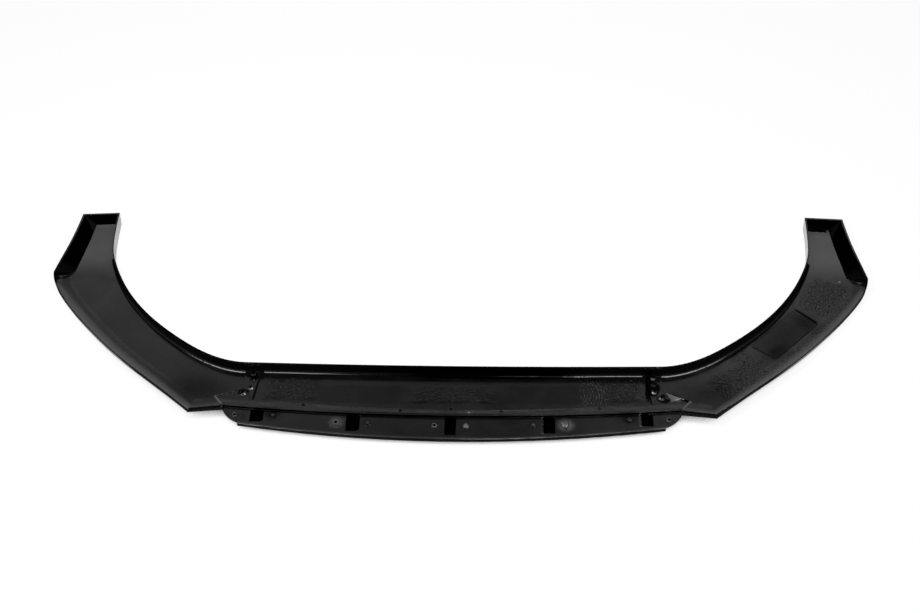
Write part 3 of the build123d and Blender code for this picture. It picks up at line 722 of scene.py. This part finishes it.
WELD = 1e-6  # corners closer than this are one point
ALIKE = 0.8  # a corner normal that agrees less with its face than this gives way to the face's own
LEVEL = 0.99  # upward share of a normal above which a face counts as level
WALL = 0.9  # and below which it counts as a wall
CREST_LOW = 0.0235  # level faces above this height are the tops of rims and beads
GRAZE = 0.25  # a face that leans up or down by more than this is hollow side or road side at once
DIP = 0.6  # downward share of the ray that looks for the tray's floor
REACH = 0.2  # how far that ray looks
LIFT = 1e-4  # how far above its face it starts


def welded(node):
    """Points, faces and corner normals of a CAD node, with shared corners joined."""
    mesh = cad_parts[node].data
    spots = {}
    points = []
    index = []
    for vert in mesh.vertices:
        key = tuple(round(value / WELD) for value in vert.co)
        if key not in spots:
            spots[key] = len(points)
            points.append(vert.co.copy())
        index.append(spots[key])
    faces = []
    normals = []
    for face in mesh.polygons:
        corners = [index[v] for v in face.vertices]
        if len(set(corners)) == len(corners):
            faces.append(corners)
            for k in face.loop_indices:
                given = mesh.corner_normals[k].vector.copy()
                normals.append(given if given.dot(face.normal) > ALIKE else face.normal.copy())
    return points, faces, normals


def road_sides(points, faces):
    """For each face, 1 where it belongs to the finished side and 0 on the hollow side."""
    tree = BVHTree.FromPolygons(points, faces)
    sides = []
    for corners in faces:
        a, b, c = (points[k] for k in corners[:3])
        normal = (b - a).cross(c - a).normalized()
        if abs(normal.z) > GRAZE:
            sides.append(0.0 if normal.z > 0 else 1.0)
            continue
        start = (a + b + c) / 3 + normal * LIFT
        hit = tree.ray_cast(start, (normal - Vector((0, 0, DIP))).normalized(), REACH)
        sides.append(1.0 if hit[0] is None else 0.0)
    return sides


def steepness(normal):
    """0 for a level face, 1 for a wall."""
    return min(1.0, max(0.0, (LEVEL - abs(normal.z)) / (LEVEL - WALL)))


def new_piece(name, mesh, material):
    """Object of the scene with one material."""
    mesh.materials.clear()
    mesh.materials.append(material)
    piece = bpy.data.objects.new(name, mesh)
    bpy.context.scene.collection.objects.link(piece)
    return piece


def paint(mesh, name, domain, values):
    """Store a number for each face, corner or point."""
    mesh.attributes.new(name, "FLOAT", domain).data.foreach_set("value", values)


def skin(node, material):
    """Smooth copy of a CAD node that knows its finished side, its walls and its crests."""
    name = node + "_moulding"
    points, faces, normals = welded(node)
    mesh = bpy.data.meshes.new(name)
    mesh.from_pydata(points, [], faces)
    mesh.shade_smooth()
    mesh.normals_split_custom_set(normals)
    crests = [float(face.center.z > CREST_LOW and face.normal.z > LEVEL) for face in mesh.polygons]
    paint(mesh, ROAD_SIDE, "FACE", road_sides(points, faces))
    paint(mesh, STEEP, "CORNER", [steepness(normal) for normal in normals])
    paint(mesh, CREST, "FACE", crests)
    paint(mesh, CHIN, "FACE", [float(node == PANELS[1])] * len(faces))
    piece = new_piece(name, mesh, material)
    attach(piece, BODY)
    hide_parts(node)


def island_boxes(node):
    """Lowest and highest corner of each separate solid in a CAD node."""
    points, faces, _ = welded(node)
    home = list(range(len(points)))

    def root(k):
        """Point that stands for the whole solid of a point."""
        while home[k] != k:
            home[k] = home[home[k]]
            k = home[k]
        return k

    for corners in faces:
        for k in corners[1:]:
            home[root(k)] = root(corners[0])
    groups = {}
    for k, point in enumerate(points):
        groups.setdefault(root(k), []).append(point)
    boxes = []
    for members in groups.values():
        low = Vector(min(p[axis] for p in members) for axis in range(3))
        high = Vector(max(p[axis] for p in members) for axis in range(3))
        boxes.append((low, high))
    return sorted(boxes, key=lambda box: (round(box[0].x, 3), round(box[0].y, 3)))


def new_tree(name, inputs):
    """Geometry tree with named inputs and a material."""
    tree = bpy.data.node_groups.new(name, "GeometryNodeTree")
    for way in ("INPUT", "OUTPUT"):
        tree.interface.new_socket(name="Geometry", in_out=way, socket_type="NodeSocketGeometry")
    new_inputs(tree, inputs)
    tree.interface.new_socket(name="Material", in_out="INPUT", socket_type="NodeSocketMaterial")
    return tree, *ends(tree)


def grow(name, places, tree, values, material, attributes):
    """Plain mesh that a geometry tree makes on a set of points."""
    seed = bpy.data.meshes.new(name + "_places")
    seed.from_pydata(places, [], [])
    for label, numbers in attributes.items():
        paint(seed, label, "POINT", numbers)
    carrier = bpy.data.objects.new(name + "_places", seed)
    bpy.context.scene.collection.objects.link(carrier)
    modifier = carrier.modifiers.new("grow", "NODES")
    modifier.node_group = tree
    labels = {item.name: item.identifier for item in tree.interface.items_tree if item.in_out == "INPUT"}
    for label, value in {**values, "Material": material}.items():
        modifier[labels[label]] = value
    graph = bpy.context.evaluated_depsgraph_get()
    graph.update()
    mesh = bpy.data.meshes.new_from_object(carrier.evaluated_get(graph))
    mesh.name = name
    bpy.data.objects.remove(carrier)
    if not mesh.polygons:
        raise RuntimeError(name + " came out empty")
    return new_piece(name, mesh, material)


def finish_tree(tree, given, out, geometry):
    """Realized instances with their material, as the tree's result."""
    real = add(tree, "GeometryNodeRealizeInstances", {0: geometry}).outputs[0]
    shaded = add(tree, "GeometryNodeSetMaterial", {"Geometry": real, "Material": given["Material"]})
    tree.links.new(shaded.outputs[0], out["Geometry"])


def moved(tree, geometry, **values):
    """Geometry that is shifted or turned as a whole."""
    return add(tree, "GeometryNodeTransform", {"Geometry": geometry, **values}).outputs[0]


def instances(tree, points, piece, **values):
    """Copies of a piece on points."""
    made = add(tree, "GeometryNodeInstanceOnPoints", {"Points": points, "Instance": piece, **values})
    return made.outputs[0]


# Push nut, in shares of its radius: middle and width of the ring; length, width, rise and middle of a tooth
NUT_RING = (0.81, 0.36)
NUT_TOOTH = (0.5, 0.44, 0.13, 0.62)
NUT_FACETS = 40  # sides of the ring
WHOLE_TURN = (0.0, 0.0, 6.28)  # widest turn of a nut on its stud


def push_nut_tree():
    """Star nut: flat ring with spring teeth that lean up to the stud."""
    tree, given, out = new_tree("push_nut", {"Radius": 0.0055, "Sheet": 0.0009, "Teeth": 6, "Tilt": 0.5,
                                             "Seed": 3})
    sheet = given["Sheet"]
    middle, band = (times(tree, given["Radius"], share) for share in NUT_RING)
    long, wide, rise, out_by = (times(tree, given["Radius"], share) for share in NUT_TOOTH)
    track = add(tree, "GeometryNodeCurvePrimitiveCircle", {"Resolution": NUT_FACETS, "Radius": middle})
    section = add(tree, "GeometryNodeCurvePrimitiveQuadrilateral", {"Width": band, "Height": sheet})
    ring = add(tree, "GeometryNodeCurveToMesh", {"Curve": track.outputs[0], "Fill Caps": True,
                                                 "Profile Curve": section.outputs[0]})
    tooth = add(tree, "GeometryNodeMeshCube", {"Size": combined(tree, {0: long, 1: wide, 2: sheet})})
    leant = moved(tree, tooth.outputs[0], Rotation=combined(tree, {1: given["Tilt"]}),
                  Translation=combined(tree, {2: rise}))
    spots = add(tree, "GeometryNodeMeshCircle", {"Vertices": given["Teeth"], "Radius": out_by})
    where = add(tree, "GeometryNodeInputPosition").outputs[0]
    outward = add(tree, "FunctionNodeAlignRotationToVector", {"Vector": where}, axis="X", pivot_axis="Z")
    star = instances(tree, spots.outputs[0], leant, Rotation=outward.outputs[0])
    whole = add(tree, "GeometryNodeJoinGeometry")
    tree.links.new(ring.outputs[0], whole.inputs[0])
    tree.links.new(star, whole.inputs[0])
    raised = moved(tree, whole.outputs[0], Translation=combined(tree, {2: times(tree, sheet, 0.5)}))
    spin = add(tree, "FunctionNodeRandomValue", {0: NOWHERE, 1: WHOLE_TURN, "Seed": given["Seed"]},
               data_type="FLOAT_VECTOR")
    finish_tree(tree, given, out, instances(tree, given["Geometry"], raised, Rotation=spin.outputs[0]))
    return tree


BALL = {"Segments": 28, "Rings": 20, "Radius": 1.0}  # ball that a melted head is made from
LUMPS = {"Scale": 260.0, "Detail": 2.0}  # fineness of its lumps
NO_LUMP = (0.5, 0.5, 0.5)  # noise that leaves the head as it is
CRATER_RIM = (0.62, 0.35)  # distances from the middle at which a crater begins and is whole
CRATER_DEPTH = -0.9  # its floor, in shares of the head's rise


def melted_head_tree():
    """Squat, uneven head of a melted post, with a sunk middle where its crater says so."""
    tree, given, out = new_tree("melted_head", {"Radius": 0.0058, "Rise": 0.003, "Bump": 0.0008})

    def trait(name):
        """Value that a head was given, or that its ball stored."""
        return add(tree, "GeometryNodeInputNamedAttribute", {"Name": name}, data_type="FLOAT").outputs[0]

    where = add(tree, "GeometryNodeInputPosition").outputs[0]
    out_by = vector(tree, "LENGTH", vector(tree, "MULTIPLY", where, PLAN), NOWHERE, "Value")
    ball = add(tree, "GeometryNodeStoreNamedAttribute", {
        "Geometry": add(tree, "GeometryNodeMeshUVSphere", BALL).outputs[0], "Name": RADIAL, "Value": out_by},
        data_type="FLOAT", domain="POINT")
    width = times(tree, given["Radius"], trait(HEAD_TRAITS[1]))
    scale = combined(tree, {0: width, 1: width, 2: given["Rise"]})
    placed = instances(tree, given["Geometry"], ball.outputs[0], Scale=scale)
    real = add(tree, "GeometryNodeRealizeInstances", {0: placed})
    wobble = add(tree, "ShaderNodeTexNoise", {"Vector": where, **LUMPS}).outputs["Color"]
    pushed = scaled(tree, vector(tree, "SUBTRACT", wobble, NO_LUMP), given["Bump"])
    sunk = times(tree, remap(tree, trait(RADIAL), *CRATER_RIM, smooth=True), trait(HEAD_TRAITS[2]))
    depth = times(tree, times(tree, sunk, given["Rise"]), CRATER_DEPTH)
    dented = vector(tree, "ADD", pushed, combined(tree, {2: depth}))
    uneven = add(tree, "GeometryNodeSetPosition", {"Geometry": real.outputs[0], "Offset": dented})
    smooth = add(tree, "GeometryNodeSetShadeSmooth", {"Geometry": uneven.outputs[0]})
    finish_tree(tree, given, out, smooth.outputs[0])
    return tree


class SPLITTER_OT_wings(bpy.types.Operator):
    """Finish both wings"""

    bl_idname = "splitter.wings"
    bl_label = "Wings"

    def execute(self, context):
        for node in WINGS:
            skin(node, moulding_material())
        return {"FINISHED"}


class SPLITTER_OT_panels(bpy.types.Operator):
    """Finish the centre panel and the chin panel"""

    bl_idname = "splitter.panels"
    bl_label = "Centre and chin"

    def execute(self, context):
        for node in PANELS:
            skin(node, moulding_material())
        return {"FINISHED"}


class SPLITTER_OT_fins(bpy.types.Operator):
    """Finish the five fins under the chin"""

    bl_idname = "splitter.fins"
    bl_label = "Fins"

    def execute(self, context):
        material = fin_material()
        for node in FINS:
            skin(node, material)
        return {"FINISHED"}


POST_INSET = 0.007  # post's middle from the end of its fin's foot
HEAD_SEAT = 0.0022  # head's height above its boss
# Paleness, width and crater of the melted heads, from the left end of the chin to the right; a low paleness
# paints shade over a head
HEADS = ((0.25, 1.0, 1.0), (0.05, 0.9, 0.0), (0.5, 1.05, 1.0), (0.1, 0.85, 0.0), (0.45, 1.0, 1.0),
         (0.6, 1.05, 0.0), (0.1, 0.95, 0.0), (0.9, 1.2, 0.0), (0.05, 1.1, 0.0), (0.3, 1.0, 1.0))


class SPLITTER_OT_melted_heads(bpy.types.Operator):
    """Melt the ends of the fins' posts over the chin"""

    bl_idname = "splitter.melted_heads"
    bl_label = "Melted heads"

    def execute(self, context):
        s = settings("fastener")
        places = []
        for node in FINS:
            low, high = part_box(node)
            for x in (low.x + POST_INSET, high.x - POST_INSET):
                places.append((x, (low.y + high.y) / 2, high.z - HEAD_SEAT))
        piece = grow("melted_heads", places, melted_head_tree(), {"Bump": s.melt_bump}, melt_material(),
                     {label: [head[k] for head in HEADS] for k, label in enumerate(HEAD_TRAITS)})
        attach(piece, BODY)
        return {"FINISHED"}


# Brightness of the push nuts, from left to right and from front to rear: painted light and shade, high where
# a nut glints and low where it looks dark
NUT_PAINTED_LIGHT = {"joint_nuts": (1.0, 0.2, 0.15, 0.9, 0.12, 0.3), "tab_nuts": (0.4, 0.3)}


class SPLITTER_OT_push_nuts(bpy.types.Operator):
    """Press star nuts on the studs of the seams and of the chin's tabs"""

    bl_idname = "splitter.push_nuts"
    bl_label = "Push nuts"

    def execute(self, context):
        s = settings("fastener")
        tree = push_nut_tree()
        material = steel_material()
        for node, painted_brightness in NUT_PAINTED_LIGHT.items():
            boxes = island_boxes(node)
            places = [((low.x + high.x) / 2, (low.y + high.y) / 2, low.z) for low, high in boxes]
            radius = (boxes[0][1].x - boxes[0][0].x) / 2
            piece = grow(node + "_stars", places, tree, {
                "Radius": radius, "Sheet": s.nut_thickness, "Teeth": s.teeth, "Tilt": s.tooth_tilt}, material,
                {NUT_LIGHT: painted_brightness})
            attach(piece, BODY)
            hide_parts(node)
        return {"FINISHED"}


def camera_turn(yaw, fall, roll):
    """Rotation of a camera that looks ahead along Y, turned by yaw, lowered by fall and rolled."""
    ahead = Vector((sin(yaw) * cos(fall), cos(yaw) * cos(fall), -sin(fall)))
    right = Vector((cos(yaw), -sin(yaw), 0.0))
    down = ahead.cross(right)
    x_axis = right * cos(roll) + down * sin(roll)
    y_axis = right * sin(roll) - down * cos(roll)
    return Matrix((x_axis, y_axis, -ahead)).transposed()


def area_light(name, place, aim, size, power, matt, gloss):
    """Rectangular lamp at a place, aimed at a point, seen by matt or by glossy faces or by both."""
    data = bpy.data.lights.new(name, "AREA")
    data.shape = "RECTANGLE"
    data.size, data.size_y = size
    data.energy = power
    lamp = bpy.data.objects.new(name, data)
    lamp.visible_diffuse = matt
    lamp.visible_glossy = gloss
    lamp.location = place
    lamp.rotation_euler = (Vector(aim) - Vector(place)).to_track_quat("-Z", "Y").to_euler()
    bpy.context.scene.collection.objects.link(lamp)


WHITE = (1.0, 1.0, 1.0)
COVER_REACH = 0.06  # height up to which a piece above the floor takes its glow away
COVER_SAMPLES = 8  # rays that look for such a piece
COVER_DARK = (0.1, 0.42)  # open share of the view upwards at which the glow starts and is whole
MIRROR_FRONT = (-0.14, -0.1)  # shiny faces see the floor's glow only behind this, along Y
MIRROR_SIDE = (0.76, 0.72)  # and only within this, across


def floor_material(glow, colour):
    """White floor that takes the object's shadow, and is dark where the object covers it."""
    material = bpy.data.materials.new("studio_floor")
    tree = emptied(material)
    path = add(tree, "ShaderNodeLightPath")
    spot = add(tree, "ShaderNodeSeparateXYZ", {0: own_place(tree)}).outputs
    aside = calc(tree, "ABSOLUTE", spot[0])
    within = times(tree, remap(tree, spot[1], *MIRROR_FRONT), remap(tree, aside, *MIRROR_SIDE))
    mirrored = times(tree, path.outputs["Is Glossy Ray"], within)
    seen = largest(tree, [path.outputs["Is Camera Ray"], mirrored, path.outputs["Is Transmission Ray"]])
    shadow = add(tree, "ShaderNodeBsdfDiffuse", {"Color": rgba(colour)})
    cover = add(tree, "ShaderNodeAmbientOcclusion", {"Distance": COVER_REACH}, samples=COVER_SAMPLES)
    open_air = remap(tree, cover.outputs["AO"], *COVER_DARK, smooth=True)
    light = add(tree, "ShaderNodeEmission", {"Color": rgba(WHITE),
                                             "Strength": times(tree, times(tree, seen, open_air), glow)})
    both = add(tree, "ShaderNodeAddShader", {0: shadow.outputs[0], 1: light.outputs[0]})
    output = add(tree, "ShaderNodeOutputMaterial")
    tree.links.new(both.outputs[0], output.inputs["Surface"])
    return material


ROOM = 0.02  # brightness of the dark room
# Ring of light along the floor: brightness, heights in degrees up to which it is whole and at which it ends
HORIZON = (0.8, 4.0, 11.0)
HORIZON_RUN = (-0.1, 0.3)  # backward share of a direction at which the ring begins and is whole
# Band of light along the front and the sides: brightness, lowest and highest place in degrees, soft rim
FRONT = (0.34, 14.0, 56.0, 8.0)
FRONT_RUN = (0.3, 0.0)  # backward share of a direction at which that band begins and is whole
# Soft lights around the room: turn from straight back and height in degrees, half sizes, soft rim, brightness
GLOWS = (
    (0.0, 29.0, 25.0, 20.0, 7.0, 0.5),
    (-1.0, 16.0, 11.0, 11.0, 5.0, 0.55),
    (-26.0, 40.5, 7.0, 5.0, 4.0, 0.44),
    (17.0, 43.0, 6.0, 7.0, 4.0, 0.62),
    (11.0, 53.0, 4.0, 3.0, 4.0, 0.14),
    (-15.0, 53.0, 4.0, 3.0, 4.0, 0.3),
)


def studio_world():
    """Dark room with soft lights around the object; white to the camera."""
    world = bpy.data.worlds.new("studio")
    bpy.context.scene.world = world
    tree = emptied(world)
    toward = add(tree, "ShaderNodeTexCoord").outputs["Generated"]
    aside, back, up = add(tree, "ShaderNodeSeparateXYZ", {0: toward}).outputs
    turn = calc(tree, "DEGREES", calc(tree, "ARCTAN2", aside, back))
    height = calc(tree, "DEGREES", calc(tree, "ARCSINE", up))

    bright, whole, end = HORIZON
    low = remap(tree, height, end, whole, 0.0, bright, smooth=True)
    total = calc(tree, "ADD", times(tree, low, remap(tree, back, *HORIZON_RUN)), ROOM)

    bright, lowest, highest, soft = FRONT
    ahead = remap(tree, back, *FRONT_RUN, 0.0, bright, smooth=True)
    above = remap(tree, height, lowest - soft, lowest, smooth=True)
    below = remap(tree, height, highest + soft, highest, smooth=True)
    total = calc(tree, "ADD", total, times(tree, ahead, times(tree, above, below)))

    for glow_turn, glow_height, half_turn, half_height, soft, bright in GLOWS:
        across = calc(tree, "ABSOLUTE", calc(tree, "SUBTRACT", turn, glow_turn))
        along = calc(tree, "ABSOLUTE", calc(tree, "SUBTRACT", height, glow_height))
        glow = times(tree, remap(tree, across, half_turn + soft, half_turn, smooth=True),
                     remap(tree, along, half_height + soft, half_height, 0.0, bright, smooth=True))
        total = calc(tree, "ADD", total, glow)
    camera = add(tree, "ShaderNodeLightPath").outputs["Is Camera Ray"]
    background = add(tree, "ShaderNodeBackground", {"Strength": blend(tree, camera, total, 1.0),
                                                    "Color": rgba(WHITE)})
    output = add(tree, "ShaderNodeOutputWorld")
    tree.links.new(background.outputs[0], output.inputs["Surface"])


SENSOR = 36.0  # width of the camera's sensor, in mm
FLOOR_DROP = 0.0004  # floor below the lowest faces, so that they don't share a plane
# Lamps: name, place, aim, width and height, power in watts, whether matt and glossy faces see it
LAMPS = (
    ("left_softbox", (-0.85, -0.35, 2.1), (-0.4, -0.1, 0.0), (0.4, 1.4), 25.0, True, False),
    ("right_softbox", (0.75, -0.35, 2.1), (0.4, -0.1, 0.0), (0.4, 1.4), 17.0, True, False),
    ("left_rim_light", (-1.12, -0.05, 2.1), (-1.12, -0.05, 0.0), (1.2, 1.1), 42.0, False, True),
    ("right_rim_light", (0.9, -0.05, 2.1), (0.9, -0.05, 0.0), (1.55, 1.1), 54.0, False, True),
)


class SPLITTER_OT_stage(bpy.types.Operator):
    """Set the camera, the floor and the light"""

    bl_idname = "splitter.stage"
    bl_label = "Stage"

    def execute(self, context):
        s = settings("stage")
        scene = context.scene
        scene.view_settings.view_transform = "Standard"
        data = bpy.data.cameras.new("photo_camera")
        data.sensor_width = SENSOR
        data.sensor_fit = "HORIZONTAL"
        data.lens = s.lens
        camera = bpy.data.objects.new("photo_camera", data)
        turn = camera_turn(s.camera_yaw, s.camera_fall, s.camera_roll)
        camera.matrix_world = Matrix.Translation(s.camera_place) @ turn.to_4x4()
        scene.collection.objects.link(camera)
        scene.camera = camera
        half = s.floor_reach / 2
        mesh = bpy.data.meshes.new("floor")
        corners = ((-half, -half), (half, -half), (half, half), (-half, half))
        mesh.from_pydata([(x, y, -FLOOR_DROP) for x, y in corners], [], [(0, 1, 2, 3)])
        new_piece("floor", mesh, floor_material(s.floor_glow, s.floor_colour))
        studio_world()
        for lamp in LAMPS:
            area_light(*lamp)
        return {"FINISHED"}


STEPS = (SPLITTER_OT_wings, SPLITTER_OT_panels, SPLITTER_OT_fins, SPLITTER_OT_melted_heads,
         SPLITTER_OT_push_nuts, SPLITTER_OT_stage)


class SPLITTER_PT_panel(bpy.types.Panel):
    """Steps and settings of the splitter's dressing"""

    bl_label = "Splitter"
    bl_idname = "SPLITTER_PT_panel"
    bl_space_type = "VIEW_3D"
    bl_region_type = "UI"
    bl_category = "Splitter"

    def draw(self, context):
        for step in STEPS:
            self.layout.operator(step.bl_idname)
        for group in GROUPS:
            chosen = settings(group)
            for label in chosen.bl_rna.properties.keys():
                if label not in ("rna_type", "name"):
                    self.layout.prop(chosen, label)


GROUPS = {"moulding": MouldingSettings, "fastener": FastenerSettings, "stage": StageSettings}
CLASSES = (*GROUPS.values(), *STEPS, SPLITTER_PT_panel)


def register():
    """Make the classes and settings known."""
    for cls in CLASSES:
        bpy.utils.register_class(cls)
    for group, cls in GROUPS.items():
        setattr(bpy.types.Scene, "splitter_" + group, PointerProperty(type=cls))


def unregister():
    """Take the classes and settings away."""
    for group in GROUPS:
        delattr(bpy.types.Scene, "splitter_" + group)
    for cls in reversed(CLASSES):
        bpy.utils.unregister_class(cls)


def main():
    """Dress the lip step by step."""
    register()
    for step in STEPS:
        area, name = step.bl_idname.split(".")
        getattr(getattr(bpy.ops, area), name)()


if __name__ == "__main__":
    main()
